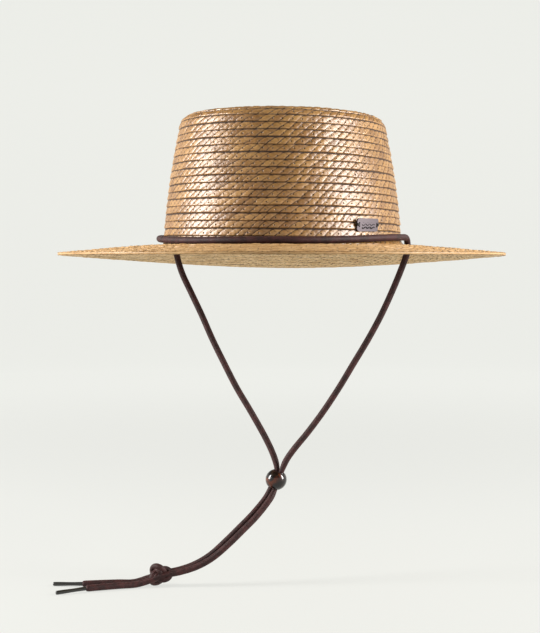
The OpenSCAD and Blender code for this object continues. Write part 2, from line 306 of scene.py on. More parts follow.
def tube(name, points, radius, sides=20, step=0.5, closed=False):
    """A tube along a smooth curve: point (i, k) is curve[i] + r (cos(a) side + sin(a) up), where a is
    k shares of a turn. radius is a number, or a function of the share of its length."""
    curve, run = smooth_curve(points, step)
    if closed:
        curve, run = curve[:-1], run[:-1]
    side, up = frames_along(curve)
    share = run / run[-1]
    r = np.array([radius(w) for w in share]) if callable(radius) else np.full(len(curve), radius)
    turn = np.linspace(0, 2 * np.pi, sides, endpoint=False)
    ring = np.cos(turn)[None, :, None] * side[:, None] + np.sin(turn)[None, :, None] * up[:, None]
    flat = (curve[:, None] + r[:, None, None] * ring).reshape(-1, 3)
    total = len(curve)
    quads, i, k = ring_faces(total, sides, closed)
    faces = quads.tolist()
    v = np.stack([k, k + 1, k + 1, k], -1) * (np.pi * 2 * np.max(r) / sides)
    u = np.stack([run[i], run[i], run[i] + step, run[i] + step], -1)
    corners = np.stack([u, v], -1).reshape(-1, 2)
    if not closed:
        flat = np.vstack([flat, curve[0], curve[-1]])
        start, end, last_ring = total * sides, total * sides + 1, (total - 1) * sides
        faces += [[start, (j + 1) % sides, j] for j in range(sides)]
        faces += [[end, last_ring + j, last_ring + (j + 1) % sides] for j in range(sides)]
        corners = np.vstack([corners, np.zeros((6 * sides, 2))])
    obj = mesh_object(name, flat, faces)
    set_uv(obj, corners)
    return obj, metres(curve), run[-1] * MM


# %% [markdown]
# ## Straps and tail strands
# Four stretches of cord meet in the bead, which squeezes them: a strap thins as it goes in, and a
# tail strand is thin as it comes out. Each stretch is its own piece, because one rigid cord would
# tear away from the bead as it slides.

# %% Straps and tail strands
STRAND_D = 3.9  # in the bead
END_R = 1.7  # where the tip grips the cord


def eased(share):
    """The smooth step 3 x^2 - 2 x^3, held at 0 and 1 outside 0 to 1."""
    x = np.clip(share, 0, 1)
    return x * x * (3 - 2 * x)


def squeezed_at_end(share):
    """A strap's radius: full, then squeezed where it enters the bead."""
    return (CORD_D + (STRAND_D - CORD_D) * eased((share - 0.93) / 0.05)) / 2


def tail_radius(share):
    """A tail strand's radius: squeezed in the bead, full, and rounded at its end over the tip."""
    body = (STRAND_D + (CORD_D - STRAND_D) * eased((share - 0.04) / 0.05)) / 2
    end = np.clip((share - 0.986) / 0.014, 0, 1)
    return END_R + (body - END_R) * math.sqrt(max(0.0, 1 - end * end))


cords = {}
for node, route, radius in (
        ("cord_left_strap", LEFT_STRAP, squeezed_at_end), ("cord_right_strap", RIGHT_STRAP, squeezed_at_end),
        ("cord_left_tail", LEFT_TAIL, tail_radius), ("cord_right_tail", RIGHT_TAIL, tail_radius)):
    obj, path, length = tube(node.replace("cord_", "") + "_cord", route, radius)
    paint(obj, cord_look)
    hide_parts(node)
    cords[node] = (obj, path, length)
    print(node, "length", round(length, 4))

for side, x in (("left", -91), ("right", 91)):
    strap, tail = cords[f"cord_{side}_strap"][0], cords[f"cord_{side}_tail"][0]
    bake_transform(strap)
    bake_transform(tail)

# %% [markdown]
# ## Cord tips
# Each end has a hard tip of black plastic, shrunk on so that the cord ends can be threaded. It
# narrows a little where it was pressed, and its outer end is cut square with a soft edge. Heat
# leaves fine marks about a millimetre apart, which break up its gleam.

# %% Cord tips
AGLET_R = 1.5
TIP_MARKS = 0.9  # per millimetre


def tip_material():
    """Black shrunk plastic with fine marks."""
    material, shader = new_material("tip_plastic", Roughness=0.32, Coat_Weight=0.3)
    place = add(material, "TexCoord")["Object"]
    marks = add(material, "TexNoise", {"Vector": place, "Scale": TIP_MARKS * PER_MM, "Detail": 3.0})[0]
    tone = add(material, "Mix", {0: marks, 6: linear("#0D0D0C"), 7: linear("#24231E")}, **COLOURS)[2]
    link(material, tone, shader.inputs["Base Color"])
    bump = add(material, "Bump", {"Strength": 0.25, "Distance": 0.08 * MM, "Height": marks})[0]
    link(material, bump, shader.inputs["Normal"])
    return material


def tip_radius(share):
    """Wide where it leaves the cord, pressed in its middle, and rounded over at the end."""
    pressed = 1 - 0.1 * math.sin(math.pi * min(1, share * 1.2)) ** 2
    edge = np.clip((share - 0.97) / 0.03, 0, 1)
    return AGLET_R * pressed * (1 - 0.25 * edge * edge)


tip_black = tip_material()
tips = {}
for side, start, end in (("left", LEFT_TAIL[-1], LEFT_TIP), ("right", RIGHT_TAIL[-1], RIGHT_TIP)):
    start, end = np.array(start, float), np.array(end, float)
    way = (end - start) / np.linalg.norm(end - start)
    points = [start - 2 * way, start + 5 * way, start + 12 * way, end]
    tips[side] = tube(f"{side}_cord_tip", points, tip_radius, sides=16, step=0.4)[0]
    paint(tips[side], tip_black)
    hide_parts(f"aglet_{side}")
    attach(tips[side], "hat")
    print(tips[side].name, "length", round(float(np.linalg.norm(end - start)), 1), "mm")

# %% [markdown]
# ## Stopper knot
# Both strands are tied together in one overhand knot, which stops the bead. Its core is a
# trefoil, the path that a cord takes in an overhand knot, drawn tight and followed by both
# strands side by side. The trefoil is closed, so the strands don't run on into the tails, which
# the tightly pulled loops hide.

# %% Stopper knot
KNOT_R = 2.15  # strand radius where the knot squeezes it
KNOT_SIZE = 2.0
KNOT_DEPTH = 1.25
KNOT_TURN = math.radians(50)
STRAND_APART = 1.55
tail_way = np.array([-20, -6, -7]) / np.linalg.norm([-20, -6, -7])
knot_up = upwards - tail_way * tail_way[2]
knot_up /= np.linalg.norm(knot_up)
knot_out = np.cross(tail_way, knot_up)
if knot_out @ into_view > 0:
    knot_out = -knot_out


def trefoil(apart, count=60):
    """One strand of the knot: x = sin t + 2 sin 2t, y = cos t - 2 cos 2t, depth = -sin 3t, turned in
    its own plane to face the viewer, and grown or shrunk by apart."""
    t = np.linspace(0, 2 * np.pi, count, endpoint=False)
    x, y = np.sin(t) + 2 * np.sin(2 * t), np.cos(t) - 2 * np.cos(2 * t)
    grow = 1 + apart / (KNOT_SIZE * np.maximum(np.hypot(x, y), 1.2))
    x, y = x * grow, y * grow
    c, s = math.cos(KNOT_TURN), math.sin(KNOT_TURN)
    x, y = x * c - y * s, x * s + y * c
    depth = -np.sin(3 * t) * KNOT_DEPTH
    return KNOT_AT + KNOT_SIZE * (
        1.06 * x[:, None] * tail_way + y[:, None] * 0.92 * knot_up + depth[:, None] * knot_out)


for n, apart in enumerate((-STRAND_APART, STRAND_APART)):
    loop = trefoil(apart)
    part = tube(f"stopper_knot_strand_{n + 1}", np.vstack([loop, loop[:1]]), KNOT_R, closed=True)[0]
    paint(part, cord_look)
    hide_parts("stopper_knot")
    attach(part, "hat")

# %% [markdown]
# ## The stretches of cord
# The straps hang between two things and the tails are loose. Here each side's strap and tail are
# only looked up again, with their paths and lengths.

# %% The stretches of cord
for side, x in (("left", -91), ("right", 91)):
    strap, strap_path, strap_length = cords[f"cord_{side}_strap"]
    tail, tail_path, tail_length = cords[f"cord_{side}_tail"]

# %% [markdown]
# ## Cord band
# The middle of the cord lies on the brim round the front of the crown, lifts a little towards
# the sides, and dips into an eyelet at each end. Its points come from the hat's own oval, so
# that it stays beside the crown whatever the crown's size.

# %% Cord band
crown_high = box_mm("crown_wall")[1]
CROWN_HALF_W = crown_high[0]
OVAL_EXTRA = crown_high[1] - crown_high[0]
OVAL_FULL = 60
BAND_HALF_W = 90.3
BAND_ENDS = [[91, 17, -1], [91, 13.5, 3.8], [90.8, 7.5, 5.6]]


def reach(half_w):
    """How far the oval of that half width reaches to front and back."""
    return half_w + OVAL_EXTRA * np.minimum(1, half_w / OVAL_FULL)


def band_point(angle):
    """A point of the band at that angle round the hat."""
    a = math.radians(angle)
    return [BAND_HALF_W * math.cos(a), reach(BAND_HALF_W) * math.sin(a), 2.6 + 3 * math.cos(a) ** 4]


band_route = BAND_ENDS + [band_point(a) for a in range(-2, -179, -11)]
band_route += [[-x, y, z] for x, y, z in reversed(BAND_ENDS)]
band, _, band_length = tube("cord_band_round_crown", band_route, CORD_D / 2)
paint(band, cord_look)
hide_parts("cord_band")
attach(band, "hat")
print("band length", round(band_length, 4))

# %% [markdown]
# ## The hat's shape
# The hat's outside is one profile, from the tip's middle over the shoulder, down the side, round
# the foot and out to the brim's edge, carried round an oval. Its inside is the same profile
# moved in by the straw's thickness. A sculpted mesh could follow the shape as well, but a
# profile with a run along it is what the braid needs, because the braid is sewn by that run.

# %% Measures of the hat
ROW = 5.25  # width of braid that shows in one round
LEAF = 7.1  # length of one plait cell along the braid
EDGE_DROP, BACK_DROP, DROP_TURN = 5.3, 11, math.radians(14)
LEVEL_HALF_W = 98
BRIM_HALF_W = box_mm("brim")[1][0]
SIDE_H, ROUND_W, ROUND_H, TIP_RISE = 84.5, 9, 10, 2
SIDE_LEAN, SIDE_BOW = 4.95, 6.78
STRAW_T = 2


def side_half_w(z):
    """The crown's half width at a height on its side."""
    return CROWN_HALF_W - SIDE_LEAN * z / SIDE_H - SIDE_BOW * (z / SIDE_H) ** 2


def arc_length(points):
    """The run along a polyline at each of its points."""
    return np.concatenate([[0], np.cumsum(np.linalg.norm(np.diff(points, axis=0), axis=1))])


def out_profile():
    """The outside of the hat from the tip's middle to the brim's edge, as (half width, height)."""
    top_r = side_half_w(SIDE_H) - ROUND_W
    r = np.linspace(0, top_r, 80)
    tip = np.stack([r, SIDE_H + ROUND_H + TIP_RISE * (1 - (r / top_r) ** 2)], 1)
    a = np.radians(np.linspace(88, 0, 30))
    shoulder = np.stack([top_r + ROUND_W * np.cos(a), SIDE_H + ROUND_H * np.sin(a)], 1)
    z = np.linspace(SIDE_H - 1, 3.2, 120)
    side = np.stack([side_half_w(z), z], 1)
    b = np.radians(np.linspace(180, 270, 14))
    foot = np.stack([CROWN_HALF_W + 3 + 3 * np.cos(b), 3 + 3 * np.sin(b)], 1)
    r = np.linspace(CROWN_HALF_W + 4, BRIM_HALF_W, 160)
    brim = np.stack([r, 0 * r], 1)
    return np.vstack([tip, shoulder, side, foot, brim])


def in_profile():
    """The inside of the hat, from the brim's edge under the brim and up into the crown."""
    r = np.linspace(BRIM_HALF_W, CROWN_HALF_W, 160)
    under = np.stack([r, 0 * r - STRAW_T], 1)
    z = np.linspace(0, SIDE_H, 120)
    side = np.stack([side_half_w(z) - STRAW_T, z], 1)
    top_r = side_half_w(SIDE_H) - ROUND_W
    a = np.radians(np.linspace(3, 90, 30))
    in_w, in_h = ROUND_W - STRAW_T, ROUND_H - STRAW_T
    shoulder = np.stack([top_r + in_w * np.cos(a), SIDE_H + in_h * np.sin(a)], 1)
    r = np.linspace(top_r - 1, 0, 80)
    tip = np.stack([r, SIDE_H + ROUND_H - STRAW_T + TIP_RISE * (1 - (r / top_r) ** 2)], 1)
    return np.vstack([under, side, shoulder, tip])


class Surface:
    """A smooth side of the hat: a point from the run along its profile and the angle round it."""

    def __init__(self, profile):
        self.profile, self.run = profile, arc_length(profile)
        self.length = self.run[-1]

    def point(self, run, angle):
        """Points on the side; the brim drops towards its edge, most at the back."""
        r = np.interp(run, self.run, self.profile[:, 0])
        z = np.interp(run, self.run, self.profile[:, 1])
        edge = EDGE_DROP + BACK_DROP * ((1 + np.sin(angle - DROP_TURN)) / 2) ** 4
        way_out = np.clip((r - LEVEL_HALF_W) / (BRIM_HALF_W - LEVEL_HALF_W), 0, 1)
        z = z - edge * way_out**1.1
        return np.stack([r * np.cos(angle), reach(r) * np.sin(angle), z], -1)

    def normal(self, run, angle):
        """Unit vectors square to the side, pointing out of the straw."""
        dr, da = 0.4, 0.004
        ahead, behind = np.minimum(run + dr, self.length), np.maximum(run - dr, 0.01)
        along = self.point(ahead, angle) - self.point(behind, angle)
        off_middle = np.maximum(run, 1.0)
        round_it = self.point(off_middle, angle + da) - self.point(off_middle, angle - da)
        n = np.cross(along, round_it)
        return n / np.maximum(np.linalg.norm(n, axis=-1, keepdims=True), 1e-9)


outside = Surface(out_profile())
inside = Surface(in_profile())
print("profile runs:", round(outside.length, 1), round(inside.length, 1))

# %% [markdown]
# ## Straw braid
# The straw of the whole hat is one long plaited braid, sewn in a spiral from the middle of the
# tip to the brim's edge. Each round overlaps the next, so that its lower edge stands proud and
# throws a thin shadow, and a thin painted shadow darkens the row's edges there as well. The plait
# is of flat split straws that cross the braid on a slant, each showing as a slim leaf with a slit
# beside it, painted dark as shade. A displacement texture would blur the slits, so the rows and
# leaves are real relief; the grain and the needle holes are left to the material, which also takes
# the painted shade of the slits and row edges from the braid.

# %% Braid relief
def wander(x, seed, size):
    """A slow, smooth irregularity of hand work: a sum of three sines of unrelated pitch."""
    waves = np.sin(x * 0.83 + seed) + np.sin(x * 2.17 + 2.1 * seed) + np.sin(x * 0.31 + 3.7 * seed)
    return size * waves / 3


def leaf_noise(cell, seed):
    """A number from 0 to 1 for each whole cell, the same on every run."""
    return np.modf(np.abs(np.sin(cell * 12.9898 + seed * 78.233) * 43758.5453))[0]


def braid_relief(s, u, turn):
    """Height, tone and shade of the braid at s along it and u across it, from its covered edge
    at 0 to its proud edge at 1. Wide flat leaves lie side by side on a slant, parted by slits, and
    near the covered edge a second slit crosses each leaf the other way."""
    bend = 0.2 * np.sin(0.9 * s / LEAF + turn) + 0.08 * np.sin(2.3 * s / LEAF + 2.7 * turn)
    over = s / LEAF - 0.95 * (1 - u) ** 1.2 + bend
    cell = np.floor(over)
    psi = over - cell
    crossing = s / LEAF + 0.9 * (1 - u) + 0.35 + bend
    cell2 = np.floor(crossing)
    psi2 = crossing - cell2
    leaf = np.clip(1 - np.abs(2 * psi - 1) ** 3.0, 0, 1) ** 0.55
    slit = np.clip(1.4 - LEAF * np.minimum(psi, 1 - psi) / 0.5, 0, 1)
    upper = np.clip((0.66 - u) / 0.25, 0, 1)
    slit2 = np.clip(1.3 - LEAF * np.minimum(psi2, 1 - psi2) / 0.45, 0, 1) * upper
    lift = 0.6 + 0.8 * leaf_noise(cell, 1.0)
    height = 0.5 * leaf * lift - 0.16 * slit2
    tone = 0.65 * leaf_noise(cell, 2.0) + 0.35 * leaf_noise(cell2, 5.0)
    # the shade returned is painted shade, dark in the slits and the short crossing slits
    strength = 0.55 + 0.45 * leaf_noise(cell, 3.0)
    return height, tone, np.maximum(slit, 0.85 * slit2) * strength


# %% [markdown]
# ## Rows of braid
# One piece of the braid is a grid: along the spiral, and across the row from its covered edge to
# its proud edge. The last point across a row is the first of the row one turn on, so the rows
# join without a gap. The hat is cut into several such pieces, because each stays under 200,000
# triangles.

# %% Rows of braid
# share of the row's width, and height there, from its covered edge to under its proud edge
SHINGLE_U = np.array([0, 0.07, 0.16, 0.27, 0.39, 0.51, 0.63, 0.74, 0.84, 0.92, 0.975, 1.005, 1.02])
SHINGLE_H = np.array([-0.1, 0.06, 0.16, 0.25, 0.33, 0.40, 0.47, 0.53, 0.57, 0.58, 0.52, 0.34, 0.12])


def braid_piece(name, surface, first, last, samples, keep, base, relief):
    """One stretch of the spiral as a closed run of rows: turns first to last, samples a turn. A
    point is surface(run, angle) + height normal, with run = (turn + u) ROW. keep picks fewer points
    across the row. Each row ends under the next one's covered edge."""
    pick = np.arange(len(SHINGLE_U)) if keep is None else np.array(keep)
    u_at, h_at = SHINGLE_U[pick], SHINGLE_H[pick]
    across = len(u_at)
    total = int(round((last - first) * samples)) + 1
    phi = first + np.arange(total + samples) / samples
    angle = 2 * np.pi * phi
    middle = surface.point(np.clip((phi + 0.5) * ROW, 0, surface.length), angle)
    s = arc_length(middle) + first * 331
    row_run = (phi + wander(angle * 1.7, 1.3, 0.05) + wander(angle * 9.3, 0.4, 0.05)) * ROW
    run = np.clip(row_run[:, None] + u_at[None] * ROW, 0, surface.length)
    angles = np.broadcast_to(angle[:, None], run.shape)
    height, tone, shade = braid_relief(s[:, None], np.clip(u_at, 0, 1)[None], np.floor(phi)[:, None])
    fade = np.clip((0.99 - u_at) / 0.06, 0.0, 1)[None]
    uneven = 1 + wander(s[:, None] * 0.11, 0.7, 0.2) + wander(s[:, None] * 0.9, 0.2, 0.2)
    total_h = base + relief * (h_at[None] * uneven + height * fade)
    grid = surface.point(run, angles) + surface.normal(run, angles) * total_h[..., None]

    index = np.arange(total + samples)[:, None] * across + np.arange(across)[None]
    joined = np.concatenate([index[:total], index[samples : total + samples, :1]], 1)
    corners_of = (joined[:-1, 1:], joined[1:, 1:], joined[1:, :-1], joined[:-1, :-1])
    used, flat = np.unique(np.stack(corners_of, -1).reshape(-1, 4), return_inverse=True)
    obj = mesh_object(name, grid.reshape(-1, 3)[used], flat.reshape(-1, 4))

    v = np.concatenate([u_at * ROW, [1.06 * ROW]])
    u_corner = np.stack([s[: total - 1], s[1:total], s[1:total], s[: total - 1]], -1)[:, None, :]
    v_corner = np.stack([v[1:], v[1:], v[:-1], v[:-1]], -1)[None]
    shape = (total - 1, across, 4)
    corners = [np.broadcast_to(u_corner, shape), np.broadcast_to(v_corner, shape)]
    set_uv(obj, np.stack(corners, -1).reshape(-1, 2))
    # painted shadow: the row's covered edge, under the row above, and its own tucked-under proud edge are
    # darkened
    painted_row_edge_shadow = np.clip((0.2 - u_at) / 0.13, 0, 1)[None] + np.clip((u_at - 0.975) / 0.03, 0, 1)[None]
    set_attribute(obj, "tone", np.broadcast_to(tone, run.shape).reshape(-1)[used])
    set_attribute(obj, "shade", np.clip(shade + painted_row_edge_shadow, 0, 1).reshape(-1)[used])
    return obj


# %% [markdown]
# ## The straw's finish
# Split straw has a hard, glossy skin on one side. Each leaf keeps its own tone and grain runs
# along it; the slits are painted dark as shade, and the needle holes are dark with the sunk thread
# and painted shade. A flat colour with a noise over it would look like card, so tone and shade come
# from the braid itself, point by point. The straw is one braid, but its colour is in three copies
# painted for the light: the crown's is painted darkest, and is the glossiest, the brim's top is
# painted paler, and the brim's underside is painted palest, and is dull.

# %% Straw materials
LEAF_SLANT = math.radians(35)


def straw_material(name, light, dark, fibre, gloss, shine):
    """Plaited split straw: u runs along the braid and v across it, in millimetres. Each leaf has
    its own tone, with fine grain along it; slits and row edges are painted dark as shade, and
    needle holes are dark with the sunk thread and painted shade."""
    material, shader = new_material(name, Roughness=gloss, Specular_IOR_Level=shine)
    uv = add(material, "UVMap", uv_map="uv")[0]
    s, v, _ = add(material, "SeparateXYZ", {0: uv})
    tone = add(material, "Attribute", attribute_name="tone")["Fac"]
    shade = add(material, "Attribute", attribute_name="shade")["Fac"]
    stretch = {"Vector": uv, "Rotation": (0, 0, LEAF_SLANT), "Scale": (0.22, 3.2, 1)}
    along_leaf = add(material, "Mapping", stretch)[0]
    fine = {"Vector": along_leaf, "Scale": 1.0, "Detail": 5.0, "Roughness": 0.6}
    grain = add(material, "TexNoise", fine)[0]
    blotch = add(material, "TexNoise", {"Vector": uv, "Scale": 0.09, "Detail": 2.0})[0]
    base = add(material, "Mix", {0: tone, 6: linear(dark), 7: linear(light)}, **COLOURS)[2]
    fibres = add(material, "MapRange", {0: grain, 1: 0.35, 2: 0.65, 4: 0.6}, **SMOOTH)[0]
    base = add(material, "Mix", {0: fibres, 6: base, 7: linear(fibre)}, **COLOURS)[2]
    rosy = add(material, "MapRange", {0: blotch, 1: 0.5, 2: 0.75, 4: 0.35}, **SMOOTH)[0]
    base = add(material, "Mix", {0: rosy, 6: base, 7: linear("#A0703F")}, **COLOURS)[2]

    # a needle hole every plait cell, with the thread sunk in it: the hole is darkened for the dark thread and
    # for painted shade in it
    cell = add(material, "Math", {0: s, 1: 1 / LEAF}, operation="MULTIPLY")[0]
    whole = add(material, "Math", {0: cell}, operation="FLOOR")[0]
    stray = add(material, "TexWhiteNoise", {"W": whole}, noise_dimensions="1D")[0]
    part = add(material, "Math", {0: cell, 1: whole}, operation="SUBTRACT")[0]
    middle = add(material, "Math", {0: stray, 1: 0.16, 2: 0.42}, operation="MULTIPLY_ADD")[0]
    off = add(material, "Math", {0: part, 1: middle}, operation="SUBTRACT")[0]
    x = add(material, "Math", {0: off, 1: LEAF}, operation="MULTIPLY")[0]
    y = add(material, "Math", {0: v, 1: 0.62 * ROW}, operation="SUBTRACT")[0]
    xx = add(material, "Math", {0: x, 1: x}, operation="MULTIPLY")[0]
    squared = add(material, "Math", {0: y, 1: y, 2: xx}, operation="MULTIPLY_ADD")[0]
    away = add(material, "Math", {0: squared}, operation="SQRT")[0]
    hole = add(material, "MapRange", {0: away, 1: 0.75, 2: 0.3}, **SMOOTH)[0]

    # painted shade: the shade attribute mixes the colour towards near-black brown in the slits and at the row
    # edges
    gap = add(material, "MapRange", {0: shade, 1: 0.15, 2: 0.85, 4: 0.95}, **SMOOTH)[0]
    base = add(material, "Mix", {0: gap, 6: base, 7: linear("#2A1505")}, **COLOURS)[2]
    dull = add(material, "Math", {0: gap, 1: hole}, operation="MAXIMUM")[0]
    rough = add(material, "MapRange", {0: dull, 1: 0.1, 2: 0.8, 3: gloss, 4: 0.95}, **SMOOTH)[0]
    link(material, rough, shader.inputs["Roughness"])
    # the thread's own dark colour and painted shade in the needle hole
    thread_and_painted_shade = add(material, "Math", {0: hole, 1: 0.85}, operation="MULTIPLY")[0]
    base = add(material, "Mix", {0: thread_and_painted_shade, 6: base, 7: linear("#1C0F06")}, **COLOURS)[2]
    link(material, base, shader.inputs["Base Color"])
    ridges = add(material, "Math", {0: grain, 1: 0.35}, operation="MULTIPLY")[0]
    height = add(material, "Math", {0: ridges, 1: hole}, operation="SUBTRACT")[0]
    bump = add(material, "Bump", {"Strength": 0.9, "Distance": 0.4 * MM, "Height": height})[0]
    link(material, bump, shader.inputs["Normal"])
    return material


# lit and shaded copies of one straw: the crown's colours are painted darker, the brim's top paler, and the
# underside palest
straw_crown_painted_darker = straw_material("plaited_straw", "#BE9152", "#835A25", "#684014", 0.37, 0.9)
straw_brim = straw_material("plaited_straw_brim", "#DAB583", "#B48B55", "#8E6636", 0.46, 0.45)
straw_underside_painted_palest = straw_material("plaited_straw_underside", "#F0D2A4", "#D2AE7A", "#B58C58", 0.6, 0.3)

# %% [markdown]
# ## The straw pieces
# The spiral is cut after whole rounds, first where the tip ends and then about every five
# rounds, so that each piece belongs to one solid of the frame. The inside is seen from further
# off and through a smaller opening, so it has fewer points across the row.

# %% Straw pieces
TIP_TURNS = 12
edge_turns = outside.length / ROW
coarse = [0, 2, 4, 6, 8, 10, 11]
coarser = [0, 4, 8, 11]
straw_pieces = [("crown_tip_straw", "crown_tip", outside, -1, TIP_TURNS, 560, None, "straw")]
for n in range(4):
    straw_pieces.append((f"crown_side_straw_{n + 1}", "crown_wall", outside, TIP_TURNS + 5 * n,
                         TIP_TURNS + 5 * n + 5, 1150, None, "straw"))
for n, (start, end) in enumerate(((32, 37), (37, 42), (42, edge_turns))):
    straw_pieces.append((f"brim_top_straw_{n + 1}", "brim", outside, start, end, 1250, None, "straw_brim"))
for n, (start, end) in enumerate(((-1, 7), (7, 15))):
    straw_pieces.append((f"brim_under_straw_{n + 1}", "brim", inside, start, end, 900, coarse, "straw_brim"))
straw_pieces.append(("crown_lining_straw", "crown_wall", inside, 15, inside.length / ROW, 300,
                     coarser, "straw"))
for name, node, surface, start, end, samples, keep, slot in straw_pieces:
    under = surface is inside
    base, relief = (-0.6, 0.62) if under else (-0.95, 1.0)
    piece = braid_piece(name, surface, start, end, samples, keep, base, relief)
    paint(piece, straw_underside_painted_palest if under else straw_brim if node == "brim" else straw_crown_painted_darker)
    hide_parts(node)
    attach(piece, "hat")
    print(name, len(piece.data.polygons), "faces")

# %% [markdown]
# ## Brim's edge
# The braid's last round is folded under and stitched, which gives the brim a slim, round edge.
# A bevel on the brim would cut across the leaves, so the fold is a thin tube of its own.

# %% Brim's edge
EDGE_POINTS = 361
edge_angle = np.linspace(0, 2 * np.pi, EDGE_POINTS)
edge_line = inside.point(np.full(EDGE_POINTS, 0.9), edge_angle) + upwards
edge = tube("brim_edge_straw", edge_line, 0.95, sides=10, step=1.6, closed=True)[0]
edge_points = len(edge.data.vertices)
set_attribute(edge, "tone", 0.3 + 0.5 * leaf_noise(np.floor(np.arange(edge_points) / 45.0), 3.0))
set_attribute(edge, "shade", np.zeros(edge_points))
paint(edge, straw_brim)
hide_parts("brim")
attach(edge, "hat")
print("brim edge", len(edge.data.polygons), "faces")

# %% [markdown]
# ## Sweatband
# A ribbed cotton band lines the foot of the crown, with a narrow strip over its butted ends. Cotton
# soaks up light, so it is rough, and its ribs 0.9 mm apart are a bump, with painted shade in the
# hollows between them. Cloth simulation would change nothing, because the band is sewn flat
# against the straw.

# %% Sweatband
RIB_PITCH = 0.9
SWEAT_H = box_mm("sweatband")[1][2]
SWEAT_T = 0.8
sweat, shader = new_material("ribbed_cotton_band", Roughness=0.85, Sheen_Weight=0.3)
uv = add(sweat, "UVMap", uv_map="uv")[0]
along = add(sweat, "SeparateXYZ", {0: uv})[0]
along = add(sweat, "Math", {0: along, 1: 2 * math.pi / RIB_PITCH}, operation="MULTIPLY")[0]
ribs = add(sweat, "Math", {0: along}, operation="SINE")[0]
# painted shade: the cotton is darker in the hollows between the ribs
raised = add(sweat, "MapRange", {0: ribs, 1: -1, 2: 1}, **SMOOTH)[0]
cotton = add(sweat, "Mix", {0: raised, 6: linear("#4E3D2D"), 7: linear("#7A624A")}, **COLOURS)[2]
link(sweat, cotton, shader.inputs["Base Color"])
bump = add(sweat, "Bump", {"Strength": 0.6, "Distance": 0.2 * MM, "Height": ribs})[0]
link(sweat, bump, shader.inputs["Normal"])


def sweatband(around=400, along=1.44):
    """A soft-edged band against the inside of the crown, closed all round: its cross-section's
    points, as (depth into the hat, height), carried round the crown's own oval. along is the UV
    length of one face."""
    z_out = np.linspace(0.2, SWEAT_H - 0.3, 12)
    section = [(0.02, z) for z in z_out] + [(fold, SWEAT_H - 0.05) for fold in (0.1, 0.45, 0.7)]
    section = np.array(section + [(SWEAT_T - 0.05, z) for z in z_out[::-1]])
    a = np.linspace(0, 2 * np.pi, around, endpoint=False)[:, None]
    r = (side_half_w(section[:, 1]) - STRAW_T - section[:, 0])[None]
    height = np.broadcast_to(section[:, 1], (around, len(section)))
    grid = np.stack([r * np.cos(a), reach(r) * np.sin(a), height], -1)
    quads, i, k = ring_faces(around, len(section))
    obj = mesh_object("sweatband_cotton", grid.reshape(-1, 3), quads)
    corners = np.stack([np.stack([i, i, i + 1, i + 1], -1) * along, np.stack([k, k + 1, k + 1, k], -1)], -1)
    set_uv(obj, corners.reshape(-1, 2))
    return obj


band_inside = sweatband()
paint(band_inside, sweat)
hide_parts("sweatband")
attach(band_inside, "hat")
print("sweatband", len(band_inside.data.polygons), "faces")

# %% Cotton strip over the join
strip, shader = new_material("cotton_strip", Roughness=0.8)
place = add(strip, "TexCoord")["Object"]
waves = {"Vector": place, "Scale": 0.26 * PER_MM, "Distortion": 1.5}
twill = add(strip, "TexWave", waves, bands_direction="DIAGONAL")[1]
# painted shade: the strip is darker in the hollows of the twill
cotton = add(strip, "Mix", {0: twill, 6: linear("#5A4735"), 7: linear("#7B654E")}, **COLOURS)[2]
link(strip, cotton, shader.inputs["Base Color"])
bump = add(strip, "Bump", {"Strength": 0.4, "Distance": 0.2 * MM, "Height": twill})[0]
link(strip, bump, shader.inputs["Normal"])
paint(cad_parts["sweatband_join"], strip)
print("painted sweatband_join")

# %% [markdown]
# ## Turned pieces
# Eyelets, washers and bead are all round about an axis. A profile spun with a Screw modifier
# would make them, but here the outline of (radius, height) is carried round with a formula, as
# for every other piece, so its arcs stay true.

# %% Turning helpers
def turned(name, section, middle, axis=(0, 0, 1), around=96):
    """A solid of revolution: section is a closed outline of (radius, height) about the axis."""
    section = np.asarray(section, float)
    axis = np.asarray(axis, float) / np.linalg.norm(axis)
    side = np.cross([0.1, 1, 0.05], axis)
    side /= np.linalg.norm(side)
    up = np.cross(axis, side)
    a = np.linspace(0, 2 * np.pi, around, endpoint=False)
    ring = np.cos(a)[:, None, None] * side + np.sin(a)[:, None, None] * up
    grid = np.asarray(middle) + section[None, :, :1] * ring + section[None, :, 1:] * axis
    quads = ring_faces(around, len(section))[0][:, [0, 3, 2, 1]]  # so that the faces point outwards
    return mesh_object(name, grid.reshape(-1, 3), quads)


def arc(centre, radius, start, end, count):
    """Points of an arc, in degrees, as (radius, height)."""
    a = np.radians(np.linspace(start, end, count))
    return np.stack([centre[0] + radius * np.cos(a), centre[1] + radius * np.sin(a)], 1)


# %% [markdown]
# ## Eyelets and washers
# An eyelet is pressed from thin sheet brass and plated: its barrel goes through the brim, its
# flange lies on top, and a washer closes it below. Plated brass is a pale metal, rubbed in
# places, so its roughness wanders a little. The scuffs are drawn 1.4 mm apart.

# %% Eyelets and washers
EYELET_R, EYELET_WALL, FLANGE_R = 3.3, 0.4, 4.7
LIP_R = 0.25  # rounding of the flange's rim
ROLL_R = 0.5  # rounding of the barrel's mouth
brass, shader = new_material("plated_brass", Metallic=1.0, Roughness=0.32)
place = add(brass, "TexCoord")["Object"]
scuff = add(brass, "TexNoise", {"Vector": place, "Scale": 0.7 * PER_MM, "Detail": 4.0})[0]
metal = add(brass, "Mix", {0: scuff, 6: linear("#A0937F"), 7: linear("#CDC2AE")}, **COLOURS)[2]
link(brass, metal, shader.inputs["Base Color"])
rough = add(brass, "MapRange", {0: scuff, 1: 0.2, 2: 0.8, 3: 0.22, 4: 0.42}, **SMOOTH)[0]
link(brass, rough, shader.inputs["Roughness"])

